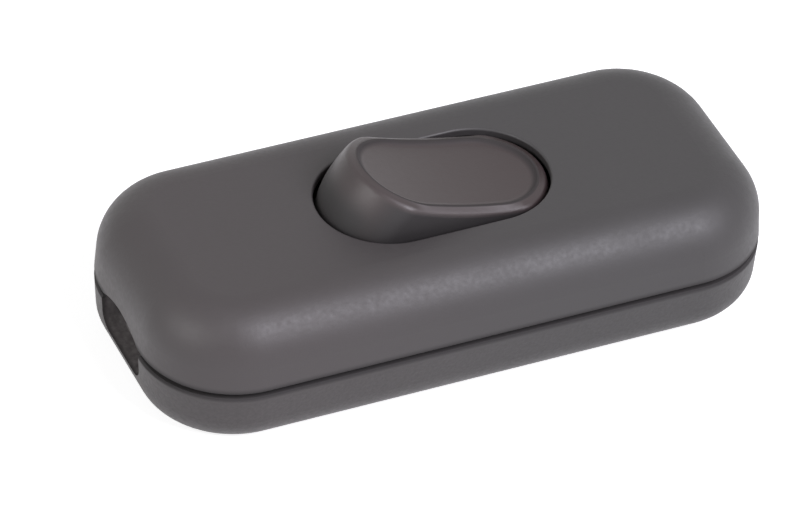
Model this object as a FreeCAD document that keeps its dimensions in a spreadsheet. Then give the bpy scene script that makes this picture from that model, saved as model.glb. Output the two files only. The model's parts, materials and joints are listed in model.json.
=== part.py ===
import FreeCAD, Part
import math
import os

import Sketcher

# Driving dimensions, in millimetres and degrees
dimensions = {
    # housing, outside
    "housing_length": 63.0,        # over the two end walls, at the joint between the shells
    "housing_width": 28.4,
    "housing_corner": 9.3,         # radius of the four corners seen from above
    "upper_height": 8.1,           # joint to the top face
    "lower_height": 6.0,           # bottom face to the joint
    "wall_draft": 3.6,             # lean of the side walls, both ways from the joint
    "top_edge": 5.25,              # rounding of the upper shell's edge
    "bottom_edge": 3.1,            # rounding of the lower shell's edge
    "inside_edge": 1.9,            # bevel inside the upper shell, below its rounded edge
    # shell walls and the joint
    "wall": 2.0,
    "roof": 1.8,
    "floor_thickness": 1.8,
    "joint_gap": 0.5,              # dark line round the housing
    "joint_edge": 0.2,             # bevel on both edges beside it
    "tongue_thickness": 0.9,
    "tongue_height": 1.3,
    "tongue_clearance": 0.1,
    "overlap": 0.5,                # how far a rib or post runs into the wall it joins
    "cut_past": 1.0,               # how far a cut runs past what it cuts
    # cord slot in each end wall
    "slot_width": 9.3,
    "slot_rise": 1.7,              # crown of its arched top, above the joint
    "slot_drop": 3.2,              # below the joint
    "slot_corner": 1.5,
    "saddle_width": 7.0,
    "tooth_height": 0.5,
    "tooth_pitch": 2.2,
    # opening for the rocker
    "opening_straight": 9.4,       # between the centres of its round ends
    "opening_radius": 6.95,
    "opening_lip": 0.8,            # full thickness of the lip round the opening
    "opening_relief": 0.55,
    "opening_edge": 0.25,
    # rocker
    "pivot_depth": 4.0,            # rocking axis below the top face
    "rocker_tilt": 14.4,           # each way from level
    "rocker_gap": 0.55,            # air round the rocker, in the opening
    "rocker_skirt": 1.6,           # below the axis
    "end_radius": 6.75,            # of the round ends, seen along the rocker
    "shoulder_radius": 2.5,        # between a round end and a side
    "side_lean": 0.4,              # narrowing of each side at the shoulder
    "crown_height": 5.26,          # lowest point of the crown, above the axis
    "crown_radius": 46.0,
    "rim_round": 0.8,
    "scoop_inset": 0.62,           # from the outline of the crown to the finger scoop
    "scoop_depth": 0.3,
    "scoop_foot": 1.0,             # rounding that its floor rises in
    "scoop_blank": 3.0,            # thickness of the piece cut out for it
    "rocker_wall": 1.2,
    "rocker_roof": 1.3,
    "trunnion_radius": 1.3,
    "running_clearance": 0.05,
    "cheek_thickness": 1.6,
    "cheek_side": 1.2,             # material each side of the trunnion slot
    "cheek_drop": 1.2,             # below the rocking axis
    # plunger and spring, in the rocker's tube
    "plunger_radius": 1.4,
    "plunger_top": 0.5,            # below the rocking axis
    "tube_wall": 0.9,
    "tube_drop": 2.0,
    "spring_wire": 0.32,
    "spring_turns": 4.0,
    "plunger_gap": 0.08,           # between the plunger's nose and the contact arm
    # contact arm
    "arm_tilt": 8.0,               # each way from level
    "arm_length": 14.8,
    "arm_width": 3.2,
    "arm_thickness": 0.6,
    "arm_dip": 0.25,
    "dip_radius": 3.0,
    "wing_radius": 0.4,
    "wing_reach": 0.85,            # beyond the arm's side
    "contact_reach": 6.2,          # contact tip from the arm's axis
    "contact_radius": 1.1,
    "contact_height": 0.5,
    "contact_gap": 0.05,
    "rivet_radius": 0.6,
    # terminals
    "strip_thickness": 0.65,
    "fork_thickness": 0.8,
    "fork_gap": 0.15,
    "fork_length": 2.4,
    "fork_rise": 0.5,              # above the arm's axis
    "block_air": 1.6,              # between a terminal block and the rocker's sweep
    "strip_clearance": 0.1,        # beside the ribs that hold a strip
    "block_length": 4.8,
    "block_width": 4.6,
    "block_height": 4.4,
    "wire_bore": 1.25,
    "wire_height": 2.0,            # wire hole's centre above the floor
    "neutral_air": 0.7,            # between the bar and the side wall, at the joint
    "neutral_length": 22.0,
    "neutral_width": 4.0,
    "neutral_height": 3.4,
    "neutral_bore": 1.0,
    "neutral_bore_depth": 8.4,
    "neutral_screw": 4.4,          # screw from the bar's middle
    "terminal_thread": 1.0,
    "terminal_head": 1.7,
    "terminal_head_height": 1.3,
    "screw_clearance": 0.05,
    # cord clamps
    "clamp_inset": 5.9,            # clamp's centre from the end of the housing
    "clamp_width": 4.0,
    "clamp_length": 15.2,
    "clamp_thickness": 1.9,
    "clamp_ridge": 0.8,
    "ridge_air": 0.5,              # between the ridge and the posts
    "clamp_screw": 5.6,            # screw from the middle of the bar
    "clamp_post": 1.9,             # radius of the post below each end
    "clamp_post_height": 3.8,
    "clamp_thread": 1.0,
    "clamp_screw_length": 5.0,
    "clamp_head": 1.7,
    "clamp_head_height": 1.2,
    # housing screws
    "fixing_end_air": 0.6,         # between a boss and the cord clamp
    "fixing_side_air": 1.2,        # between a boss and the side wall
    "fixing_boss": 3.0,
    "fixing_thread": 1.2,
    "fixing_length": 8.0,
    "fixing_head": 2.1,
    "fixing_head_height": 1.4,
    "head_clearance": 0.15,
    "counterbore_depth": 2.4,
    "driver_slot": 0.6,
    "cross_reach": 0.7,            # of a driver cross, as a share of the head's radius
    # ribs on the floor
    "rib_thickness": 0.8,
    "rib_height": 1.4,
    "barrier_height": 2.8,
    "barrier_air": 0.4,            # between the barrier and the neutral bar
    "barrier_length": 24.0,
}


class Size:
    # A length or angle held both as a number and as a formula on the sheet's cells
    def __init__(self, value, words):
        self.value = value
        self.words = words

    def joined(self, other, sign, value):
        return Size(value, f"({self.words} {sign} {sized(other).words})")

    def __add__(self, other):
        return self.joined(other, "+", self.value + sized(other).value)

    def __radd__(self, other):
        return sized(other) + self

    def __sub__(self, other):
        return self.joined(other, "-", self.value - sized(other).value)

    def __rsub__(self, other):
        return sized(other) - self

    def __mul__(self, other):
        return self.joined(other, "*", self.value * sized(other).value)

    def __rmul__(self, other):
        return sized(other) * self

    def __truediv__(self, other):
        return self.joined(other, "/", self.value / sized(other).value)

    def __neg__(self):
        return sized(0) - self


def sized(other):
    return other if isinstance(other, Size) else Size(float(other), f"{float(other)}")


def root(size):
    return Size(math.sqrt(size.value), f"sqrt({size.words})")


def sine(size):
    return Size(math.sin(math.radians(size.value)), f"sin({size.words})")


def cosine(size):
    return Size(math.cos(math.radians(size.value)), f"cos({size.words})")


doc = FreeCAD.newDocument("inline_cord_switch")
sheet = doc.addObject("Spreadsheet::Sheet", "dims")
cell = {}
for row, (alias, number) in enumerate(dimensions.items(), start=1):
    sheet.set(f"A{row}", alias.replace("_", " "))
    sheet.set(f"B{row}", str(number))
    sheet.setAlias(f"B{row}", alias)
    cell[alias] = Size(number, f"dims.{alias}")
doc.recompute()


# Sketching and feature helpers
def bind(thing, setting, size):
    thing.setExpression(setting, sized(size).words)


def new_body(name):
    body = doc.addObject("PartDesign::Body", name)
    body.Label = name
    return body


def sketch_on(body, name, role, height=0.0):
    # The plane's normal is +Z on XY_Plane, -Y on XZ_Plane and +X on YZ_Plane
    sketch = body.newObject("Sketcher::SketchObject", name)
    plane = next(item for item in body.Origin.OriginFeatures if item.Role == role)
    sketch.AttachmentSupport = [(plane, "")]
    sketch.MapMode = "FlatFace"
    bind(sketch, "AttachmentOffset.Base.z", height)
    return sketch


def hold(sketch, kind, place, size):
    number = sketch.addConstraint(Sketcher.Constraint(kind, *place, sized(size).value))
    bind(sketch, f"Constraints[{number}]", size)


def hold_point(sketch, geometry, point, across, along):
    hold(sketch, "DistanceX", (-1, 1, geometry, point), across)
    hold(sketch, "DistanceY", (-1, 1, geometry, point), along)


def vector(across, along):
    return FreeCAD.Vector(sized(across).value, sized(along).value, 0)


def draw_circle(sketch, across, along, radius):
    upright = FreeCAD.Vector(0, 0, 1)
    circle = Part.Circle(vector(across, along), upright, sized(radius).value)
    number = sketch.addGeometry(circle, False)
    hold(sketch, "Radius", (number,), radius)
    hold_point(sketch, number, 3, across, along)


def draw_polygon(sketch, corners):
    count = len(corners)
    first = sketch.GeometryCount
    for index in range(count):
        start = vector(*corners[index])
        end = vector(*corners[(index + 1) % count])
        sketch.addGeometry(Part.LineSegment(start, end), False)
    for index in range(count):
        after = (index + 1) % count
        sketch.addConstraint(Sketcher.Constraint("Coincident", first + index, 2, first + after, 1))
        hold_point(sketch, first + index, 1, *corners[index])


def draw_rectangle(sketch, low_across, high_across, low_along, high_along):
    draw_polygon(sketch, [
        (low_across, low_along),
        (high_across, low_along),
        (high_across, high_along),
        (low_across, high_along),
    ])


def draw_rounded(sketch, centres, radius):
    # Straight sides tangent to equal arcs about the centres, which run anticlockwise
    upright = FreeCAD.Vector(0, 0, 1)
    size = sized(radius)
    count = len(centres)
    places = [vector(*centre) for centre in centres]
    first = sketch.GeometryCount
    headings = []
    for index in range(count):
        run = places[(index + 1) % count] - places[index]
        headings.append(math.atan2(run.y, run.x) - math.pi / 2)
    for index in range(count):
        circle = Part.Circle(places[index], upright, size.value)
        start = headings[index - 1]
        end = headings[index]
        while end < start:
            end += 2 * math.pi
        sketch.addGeometry(Part.ArcOfCircle(circle, start, end), False)
    for index in range(count):
        step = FreeCAD.Vector(math.cos(headings[index]), math.sin(headings[index]), 0) * size.value
        start = places[index] + step
        end = places[(index + 1) % count] + step
        sketch.addGeometry(Part.LineSegment(start, end), False)
    for index in range(count):
        side = first + count + index
        after = first + (index + 1) % count
        sketch.addConstraint(Sketcher.Constraint("Tangent", first + index, 2, side, 1))
        sketch.addConstraint(Sketcher.Constraint("Tangent", side, 2, after, 1))
    for index, centre in enumerate(centres):
        hold(sketch, "Radius", (first + index,), radius)
        hold_point(sketch, first + index, 3, *centre)


def draw_rounded_box(sketch, length, width, radius, along=0.0):
    half_length = sized(length) / 2 - radius
    half_width = sized(width) / 2 - radius
    draw_rounded(sketch, [
        (half_length, along + half_width),
        (-half_length, along + half_width),
        (-half_length, along - half_width),
        (half_length, along - half_width),
    ], radius)


def draw_stadium(sketch, half_length, radius):
    centre = half_length - radius
    draw_rounded(sketch, [(centre, 0.0), (-centre, 0.0)], radius)


def extrude(body, kind, name, sketch, length, taper=None, backward=False, both=False):
    feature = body.newObject(f"PartDesign::{kind}", name)
    feature.Profile = sketch
    bind(feature, "Length", length)
    if taper is not None:
        bind(feature, "TaperAngle", taper)
    feature.Reversed = backward
    if both:
        feature.SideType = "Symmetric"
    return feature


def pad(body, name, sketch, length, **options):
    return extrude(body, "Pad", name, sketch, length, **options)


def pocket(body, name, sketch, length, **options):
    return extrude(body, "Pocket", name, sketch, length, **options)


def loft(body, kind, name, sketches):
    feature = body.newObject(f"PartDesign::{kind}", name)
    feature.Profile = sketches[0]
    feature.Sections = sketches[1:]
    feature.Ruled = True
    return feature


def edges_at_height(shape, height, within=1000.0):
    # Level edges at a height, no farther than within from the middle line
    names = []
    for number, edge in enumerate(shape.Edges, start=1):
        box = edge.BoundBox
        level = abs(box.ZMin - height) < 1e-4 and abs(box.ZMax - height) < 1e-4
        if level and max(box.YMax, -box.YMin) < within:
            names.append(f"Edge{number}")
    return names


def fillet(body, name, base, names, radius):
    feature = body.newObject("PartDesign::Fillet", name)
    feature.Base = (base, names)
    bind(feature, "Radius", radius)
    return feature


def bevel(body, name, base, names, size):
    feature = body.newObject("PartDesign::Chamfer", name)
    feature.Base = (base, names)
    bind(feature, "Size", size)


def names_of(shape, edges):
    return [f"Edge{number}" for number, edge in enumerate(shape.Edges, start=1)
            if any(edge.isSame(other) for other in edges)]


def curved_face(shape, radius, centre_height):
    # The widest face that is part of a cylinder of this radius about a level line at this height
    found = []
    for face in shape.Faces:
        surface = face.Surface
        if surface.TypeId != "Part::GeomCylinder" or abs(surface.Radius - radius) > 1e-3:
            continue
        if abs(surface.Center.z - centre_height) < 1e-3:
            found.append(face)
    return max(found, key=lambda face: face.BoundBox.XLength)


def stand(body, across=0.0, along=0.0, height=0.0, turn=0.0):
    # Puts a body in the assembly, turned about the Y direction
    body.Placement = FreeCAD.Placement(
        FreeCAD.Vector(0, 0, 0), FreeCAD.Rotation(FreeCAD.Vector(0, 1, 0), 1))
    bind(body, "Placement.Base.x", across)
    bind(body, "Placement.Base.y", along)
    bind(body, "Placement.Base.z", height)
    bind(body, "Placement.Rotation.Angle", turn)


tooth_rows = 3

# Heights and places that several pieces share
joint = cell["lower_height"]
top_face = joint + cell["upper_height"]
floor_top = cell["floor_thickness"]
roof_under = top_face - cell["roof"]
slot_floor = joint - cell["slot_drop"]
slot_top = joint + cell["slot_rise"]
inner_end = cell["housing_length"] / 2 - cell["wall"]
pivot = top_face - cell["pivot_depth"]
strip_top = floor_top + cell["strip_thickness"]
strip_width = cell["arm_width"] + 2 * (cell["fork_gap"] + cell["fork_thickness"])
wire_axis = floor_top + cell["wire_height"]
clamp_centre = cell["housing_length"] / 2 - cell["clamp_inset"]
clamp_edge = clamp_centre - cell["clamp_width"] / 2
clamp_seat = floor_top + cell["clamp_post_height"]
fixing_across = clamp_edge - cell["fixing_end_air"] - cell["fixing_boss"]
inner_side = cell["housing_width"] / 2 - cell["wall"]
fixing_along = inner_side - cell["fixing_side_air"] - cell["fixing_boss"]
fixing_places = [(-fixing_across, -fixing_along), (fixing_across, fixing_along)]
neutral_edge = inner_side - cell["neutral_air"] - cell["neutral_width"]
neutral_middle = neutral_edge + cell["neutral_width"] / 2
no_draft = -cell["wall_draft"]

# The arm's contact tip meets the fixed tip when its end is down
tip_below_arm = cell["arm_thickness"] / 2 + cell["contact_height"]
tip_drop = (cell["contact_reach"] + cell["contact_radius"]) * sine(cell["arm_tilt"])
tip_stack = tip_below_arm * cosine(cell["arm_tilt"])
arm_axis = strip_top + cell["contact_height"] + cell["contact_gap"] + tip_drop + tip_stack
fixed_tip = cell["contact_reach"] * cosine(cell["arm_tilt"]) - tip_below_arm * sine(cell["arm_tilt"])

# The rocker's ends lie on a circle about the rocking axis, clear of the opening
opening_half = cell["opening_straight"] / 2 + cell["opening_radius"]
clear_half = opening_half - cell["rocker_gap"]
rocker_reach = root(clear_half * clear_half + cell["pivot_depth"] * cell["pivot_depth"])
rocker_round = cell["opening_radius"] - cell["rocker_gap"]
beyond = 2 * rocker_reach       # clear of the rocker on every side
block_near = rocker_reach + cell["block_air"]
block_far = block_near + cell["block_length"]
block_middle = block_near + cell["block_length"] / 2
trunnion_reach = cell["opening_radius"] + cell["opening_relief"] + cell["cheek_thickness"]
plunger_nose = pivot - arm_axis - cell["arm_thickness"] / 2 + cell["arm_dip"] - cell["plunger_gap"]
crown_centre = cell["crown_height"] + cell["crown_radius"]
crown_squares = rocker_reach * rocker_reach - cell["crown_radius"] * cell["crown_radius"]
crown_end_height = (crown_squares + crown_centre * crown_centre) / (2 * crown_centre)
crown_half = root(rocker_reach * rocker_reach - crown_end_height * crown_end_height)
scoop_floor = cell["crown_height"] - cell["scoop_depth"]
hollow_top = scoop_floor - cell["rocker_roof"]


def housing_outline(sketch, inset):
    draw_rounded_box(
        sketch,
        cell["housing_length"] - 2 * sized(inset),
        cell["housing_width"] - 2 * sized(inset),
        cell["housing_corner"] - inset,
    )


def cut_lower_slots(body):
    # A notch with round lower corners through both end walls, past the top of the tongue
    sketch = sketch_on(body, "cord_slot_outline", "YZ_Plane")
    top = joint + cell["tongue_height"] + cell["slot_corner"]
    middle = (top + slot_floor) / 2
    draw_rounded_box(sketch, cell["slot_width"], top - slot_floor, cell["slot_corner"], along=middle)
    pocket(body, "cord_slots", sketch, cell["housing_length"] + cell["cut_past"], both=True)


def draw_cap(sketch, half_chord, chord_height, centre, radius, upward):
    # The part of a disc beyond a level chord
    spread = math.asin(half_chord.value / radius.value)
    facing = math.pi / 2 if upward else -math.pi / 2
    circle = Part.Circle(vector(0.0, centre), FreeCAD.Vector(0, 0, 1), radius.value)
    sketch.addGeometry(Part.ArcOfCircle(circle, facing - spread, facing + spread), False)
    first = half_chord if upward else -half_chord
    ends = [(-first, chord_height), (first, chord_height)]
    sketch.addGeometry(Part.LineSegment(vector(*ends[0]), vector(*ends[1])), False)
    sketch.addConstraint(Sketcher.Constraint("Coincident", 0, 2, 1, 1))
    sketch.addConstraint(Sketcher.Constraint("Coincident", 1, 2, 0, 1))
    hold(sketch, "Radius", (0,), radius)
    hold_point(sketch, 1, 1, *ends[0])
    hold_point(sketch, 1, 2, *ends[1])


def cut_upper_slots(body, base):
    # The slot's top edge is an arch that springs from the shell's lower edge
    half = cell["slot_width"] / 2
    rise = slot_top - base
    radius = (half * half + rise * rise) / (2 * rise)
    sketch = sketch_on(body, "cord_arch_outline", "YZ_Plane")
    draw_cap(sketch, half, base, slot_top - radius, radius, True)
    pocket(body, "cord_arches", sketch, cell["housing_length"] + cell["cut_past"], both=True)


def mirrored_places(across, along):
    return [(across, along), (-across, along), (-across, -along), (across, -along)]


def make_bottom_shell():
    body = new_body("bottom_shell")
    outline = sketch_on(body, "rim_outline", "XY_Plane", joint)
    housing_outline(outline, 0.0)
    block = pad(body, "block", outline, cell["lower_height"], taper=no_draft, backward=True)
    doc.recompute()
    rounded = fillet(body, "lower_edge", block, edges_at_height(block.Shape, 0.0), cell["bottom_edge"])
    doc.recompute()
    bevel(body, "rim_edge", rounded, edges_at_height(rounded.Shape, joint.value), cell["joint_edge"])

    inside = sketch_on(body, "inside_outline", "XY_Plane", joint)
    housing_outline(inside, cell["wall"])
    pocket(body, "inside", inside, joint - floor_top, taper=no_draft)

    tongue = sketch_on(body, "tongue_outline", "XY_Plane", joint)
    housing_outline(tongue, cell["wall"] - cell["tongue_thickness"])
    housing_outline(tongue, cell["wall"])
    pad(body, "tongue", tongue, cell["tongue_height"])
    cut_lower_slots(body)

    saddle = sketch_on(body, "saddle_outline", "XY_Plane", floor_top)
    half = cell["saddle_width"] / 2
    outer = inner_end + cell["overlap"]
    draw_rectangle(saddle, clamp_edge, outer, -half, half)
    draw_rectangle(saddle, -outer, -clamp_edge, -half, half)
    pad(body, "cord_saddles", saddle, slot_floor - floor_top)

    teeth = sketch_on(body, "tooth_outline", "XZ_Plane")
    for side in (-1, 1):
        for step in range(tooth_rows):
            middle = side * (inner_end - cell["tooth_height"] - step * cell["tooth_pitch"])
            draw_polygon(teeth, [
                (middle - cell["tooth_height"], slot_floor),
                (middle + cell["tooth_height"], slot_floor),
                (middle, slot_floor + cell["tooth_height"]),
            ])
    pad(body, "grip_teeth", teeth, cell["saddle_width"], both=True)

    posts = sketch_on(body, "clamp_post_outline", "XY_Plane", floor_top)
    for across, along in mirrored_places(clamp_centre, cell["clamp_screw"]):
        draw_circle(posts, across, along, cell["clamp_post"])
    pad(body, "clamp_posts", posts, cell["clamp_post_height"])
    pilots = sketch_on(body, "clamp_pilot_outline", "XY_Plane", clamp_seat)
    for across, along in mirrored_places(clamp_centre, cell["clamp_screw"]):
        draw_circle(pilots, across, along, cell["clamp_thread"] + cell["screw_clearance"])
    pocket(body, "clamp_pilots", pilots, cell["clamp_post_height"])

    bosses = sketch_on(body, "fixing_boss_outline", "XY_Plane", floor_top)
    for across, along in fixing_places:
        draw_circle(bosses, across, along, cell["fixing_boss"])
    pad(body, "fixing_bosses", bosses, joint - floor_top)
    holes = sketch_on(body, "fixing_hole_outline", "XY_Plane")
    for across, along in fixing_places:
        draw_circle(holes, across, along, cell["fixing_thread"] + cell["screw_clearance"])
    pocket(body, "fixing_holes", holes, joint + cell["cut_past"], backward=True)
    recesses = sketch_on(body, "counterbore_outline", "XY_Plane")
    for across, along in fixing_places:
        draw_circle(recesses, across, along, cell["fixing_head"] + cell["head_clearance"])
    pocket(body, "counterbores", recesses, cell["counterbore_depth"], backward=True)

    ribs = sketch_on(body, "rib_outline", "XY_Plane", floor_top)
    near = strip_width / 2 + cell["strip_clearance"]
    far = near + cell["rib_thickness"]
    start = block_near - cell["block_length"]
    for side in (-1, 1):
        for low, high in ((near, far), (-far, -near)):
            left = start if side > 0 else -block_far
            right = block_far if side > 0 else -start
            draw_rectangle(ribs, left, right, low, high)
    pad(body, "terminal_ribs", ribs, cell["rib_height"])
    barrier = sketch_on(body, "barrier_outline", "XY_Plane", floor_top)
    half_run = cell["barrier_length"] / 2
    outer_side = neutral_edge - cell["barrier_air"]
    draw_rectangle(barrier, -half_run, half_run, outer_side - cell["rib_thickness"], outer_side)
    pad(body, "neutral_barrier", barrier, cell["barrier_height"])
    return body


def make_top_shell():
    body = new_body("top_shell")
    base = joint + cell["joint_gap"]
    outline = sketch_on(body, "rim_outline", "XY_Plane", base)
    housing_outline(outline, 0.0)
    block = pad(body, "block", outline, top_face - base, taper=no_draft)
    doc.recompute()
    rounded = fillet(body, "upper_edge", block, edges_at_height(block.Shape, top_face.value),
                     cell["top_edge"])
    doc.recompute()
    bevel(body, "rim_edge", rounded, edges_at_height(rounded.Shape, base.value), cell["joint_edge"])

    inside = sketch_on(body, "inside_outline", "XY_Plane", base)
    housing_outline(inside, cell["wall"])
    hollow = pocket(body, "inside", inside, roof_under - base, taper=no_draft, backward=True)
    doc.recompute()
    bevel(body, "inside_edge", hollow, edges_at_height(hollow.Shape, roof_under.value),
          cell["inside_edge"])

    rebate = sketch_on(body, "rebate_outline", "XY_Plane", base)
    housing_outline(rebate, cell["wall"] - cell["tongue_thickness"] - cell["tongue_clearance"])
    pocket(body, "rebate", rebate, cell["tongue_height"] - cell["joint_gap"], backward=True)
    cut_upper_slots(body, base)

    cheeks = sketch_on(body, "cheek_outline", "XY_Plane", pivot - cell["cheek_drop"])
    side = cell["trunnion_radius"] + cell["running_clearance"] + cell["cheek_side"]
    near = cell["opening_radius"] + cell["opening_relief"]
    far = near + cell["cheek_thickness"]
    draw_rectangle(cheeks, -side, side, near, far)
    draw_rectangle(cheeks, -side, side, -far, -near)
    pad(body, "trunnion_cheeks", cheeks, roof_under - pivot + cell["cheek_drop"] + cell["overlap"])

    opening = sketch_on(body, "opening_outline", "XY_Plane", top_face)
    draw_stadium(opening, opening_half, cell["opening_radius"])
    opened = pocket(body, "opening", opening, cell["roof"] + cell["cut_past"])
    doc.recompute()
    lip = edges_at_height(opened.Shape, top_face.value, within=cell["opening_radius"].value + 0.1)
    fillet(body, "opening_edge", opened, lip, cell["opening_edge"])
    relief = sketch_on(body, "relief_outline", "XY_Plane", top_face - cell["opening_lip"])
    draw_stadium(relief, opening_half + cell["opening_relief"],
                 cell["opening_radius"] + cell["opening_relief"])
    pocket(body, "opening_relief", relief, cell["roof"] + cell["cut_past"])

    bearing = sketch_on(body, "bearing_outline", "XZ_Plane")
    reach = cell["trunnion_radius"] + cell["running_clearance"]
    low = pivot - cell["cheek_drop"] - cell["cut_past"]
    draw_circle(bearing, 0.0, pivot, reach)
    pocket(body, "bearings", bearing, 2 * far, both=True)
    entry = sketch_on(body, "bearing_entry_outline", "XZ_Plane")
    draw_rectangle(entry, -reach, reach, low, pivot)
    pocket(body, "bearing_entries", entry, 2 * far, both=True)

    bosses = sketch_on(body, "fixing_boss_outline", "XY_Plane", joint)
    for across, along in fixing_places:
        draw_circle(bosses, across, along, cell["fixing_boss"])
    pad(body, "fixing_bosses", bosses, roof_under - joint + cell["overlap"])
    pilots = sketch_on(body, "pilot_outline", "XY_Plane", joint)
    for across, along in fixing_places:
        draw_circle(pilots, across, along, cell["fixing_thread"] + cell["screw_clearance"])
    pocket(body, "pilot_holes", pilots, roof_under - joint - cell["cut_past"], backward=True)
    return body


def draw_barrel(sketch):
    # Half of the rocker's outline, from the rocking axis outwards: a side leaning in, a shoulder,
    # the round end, and the same again, each tangent to the next
    foot = rocker_round
    end = cell["end_radius"]
    shoulder = cell["shoulder_radius"]
    centre = rocker_reach - end
    across = rocker_round - cell["side_lean"] - shoulder
    between = end - shoulder
    along = centre + root(between * between - across * across)
    upright = FreeCAD.Vector(0, 0, 1)
    bearing = math.atan2((along - centre).value, across.value)
    reach = math.hypot((foot - across).value, along.value)
    lean = math.atan2(-along.value, (foot - across).value) + math.acos(shoulder.value / reach)
    sketch.addGeometry(Part.LineSegment(vector(-foot, 0.0), vector(foot, 0.0)), False)
    touch = vector(across, along) + FreeCAD.Vector(math.cos(lean), math.sin(lean), 0) * shoulder.value
    right = Part.Circle(vector(across, along), upright, shoulder.value)
    left = Part.Circle(vector(-across, along), upright, shoulder.value)
    top = Part.Circle(vector(0.0, centre), upright, end.value)
    sketch.addGeometry(Part.LineSegment(vector(foot, 0.0), touch), False)
    sketch.addGeometry(Part.ArcOfCircle(right, lean, bearing), False)
    sketch.addGeometry(Part.ArcOfCircle(top, bearing, math.pi - bearing), False)
    sketch.addGeometry(Part.ArcOfCircle(left, math.pi - bearing, math.pi - lean), False)
    touch.x = -touch.x
    sketch.addGeometry(Part.LineSegment(touch, vector(-foot, 0.0)), False)
    sketch.addConstraint(Sketcher.Constraint("Coincident", 0, 2, 1, 1))
    sketch.addConstraint(Sketcher.Constraint("Coincident", 5, 2, 0, 1))
    for number in range(1, 5):
        sketch.addConstraint(Sketcher.Constraint("Tangent", number, 2, number + 1, 1))
    hold_point(sketch, 0, 1, -foot, 0.0)
    hold_point(sketch, 0, 2, foot, 0.0)
    hold(sketch, "Radius", (2,), shoulder)
    hold(sketch, "Radius", (3,), end)
    hold(sketch, "Radius", (4,), shoulder)
    hold_point(sketch, 3, 3, 0.0, centre)
    hold(sketch, "DistanceX", (-1, 1, 2, 3), across)
    hold(sketch, "DistanceX", (-1, 1, 4, 3), -across)


def make_scoop_tool():
    # What a finger scoop takes out of the crown: a stadium with a curved floor
    body = new_body("scoop_tool")
    disc = sketch_on(body, "floor_outline", "XZ_Plane")
    radius = cell["crown_radius"]
    centre = scoop_floor + radius
    drop = radius - cell["scoop_blank"]
    chord = root(radius * radius - drop * drop)
    draw_cap(disc, chord, centre - drop, centre, radius, False)
    pad(body, "slab", disc, beyond, both=True)
    outline = sketch_on(body, "scoop_outline", "XY_Plane")
    draw_rectangle(outline, -beyond, beyond, -beyond, beyond)
    draw_stadium(outline, crown_half - cell["scoop_inset"],
                 rocker_round - cell["side_lean"] - cell["scoop_inset"])
    trimmed = pocket(body, "trim", outline, beyond, backward=True)
    doc.recompute()
    floor = curved_face(trimmed.Shape, radius.value, centre.value)
    fillet(body, "foot", trimmed, names_of(trimmed.Shape, floor.Edges), cell["scoop_foot"])
    return body


def make_rocker():
    # Drawn level about the rocking axis, then tilted: its ends are turned about that axis, so they
    # keep their distance from the opening as it rocks. The outline hangs below the axis, which
    # keeps the seam of the turned faces out of the crown
    body = new_body("rocker")
    half_outline = sketch_on(body, "half_outline", "YZ_Plane")
    half_turn = FreeCAD.Rotation(FreeCAD.Vector(0, 0, 1), 180)
    half_outline.AttachmentOffset = FreeCAD.Placement(FreeCAD.Vector(0, 0, 0), half_turn)
    draw_barrel(half_outline)
    barrel = body.newObject("PartDesign::Revolution", "barrel")
    barrel.Profile = half_outline
    barrel.ReferenceAxis = (half_outline, ["H_Axis"])
    barrel.Angle = 360
    below = sketch_on(body, "below_skirt_outline", "XY_Plane", -cell["rocker_skirt"])
    draw_rectangle(below, -beyond, beyond, -beyond, beyond)
    pocket(body, "below_skirt", below, beyond)

    crown = sketch_on(body, "crown_outline", "XZ_Plane")
    draw_circle(crown, 0.0, crown_centre, cell["crown_radius"])
    crowned = pocket(body, "crown", crown, beyond, both=True)
    doc.recompute()
    face = curved_face(crowned.Shape, cell["crown_radius"].value, crown_centre.value)
    fillet(body, "rim_rounding", crowned, names_of(crowned.Shape, face.Edges), cell["rim_round"])
    doc.recompute()

    scoop = body.newObject("PartDesign::Boolean", "finger_scoop")
    scoop.setObjects([make_scoop_tool()])
    scoop.Type = "Cut"

    trunnion = sketch_on(body, "trunnion_outline", "XZ_Plane")
    draw_circle(trunnion, 0.0, 0.0, cell["trunnion_radius"])
    pad(body, "trunnions", trunnion, 2 * trunnion_reach, both=True)

    mouth_half = root(rocker_reach * rocker_reach - cell["rocker_skirt"] * cell["rocker_skirt"])
    ceiling_half = root(rocker_reach * rocker_reach - hollow_top * hollow_top)
    mouth = sketch_on(body, "mouth_outline", "XY_Plane", -cell["rocker_skirt"])
    draw_stadium(mouth, mouth_half - cell["rocker_wall"], rocker_round - cell["rocker_wall"])
    ceiling = sketch_on(body, "ceiling_outline", "XY_Plane", hollow_top)
    draw_stadium(ceiling, ceiling_half - cell["rocker_wall"],
                 rocker_round - cell["side_lean"] - cell["rocker_wall"])
    loft(body, "SubtractiveLoft", "hollow", [mouth, ceiling])

    bore_radius = cell["plunger_radius"] + cell["running_clearance"]
    tube = sketch_on(body, "tube_outline", "XY_Plane", -cell["tube_drop"])
    draw_circle(tube, 0.0, 0.0, bore_radius + cell["tube_wall"])
    pad(body, "spring_tube", tube, hollow_top + cell["tube_drop"] + cell["overlap"])
    bore = sketch_on(body, "bore_outline", "XY_Plane", -cell["tube_drop"])
    draw_circle(bore, 0.0, 0.0, bore_radius)
    pocket(body, "spring_bore", bore, hollow_top + cell["tube_drop"], backward=True)
    stand(body, height=pivot, turn=cell["rocker_tilt"])
    return body


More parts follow.
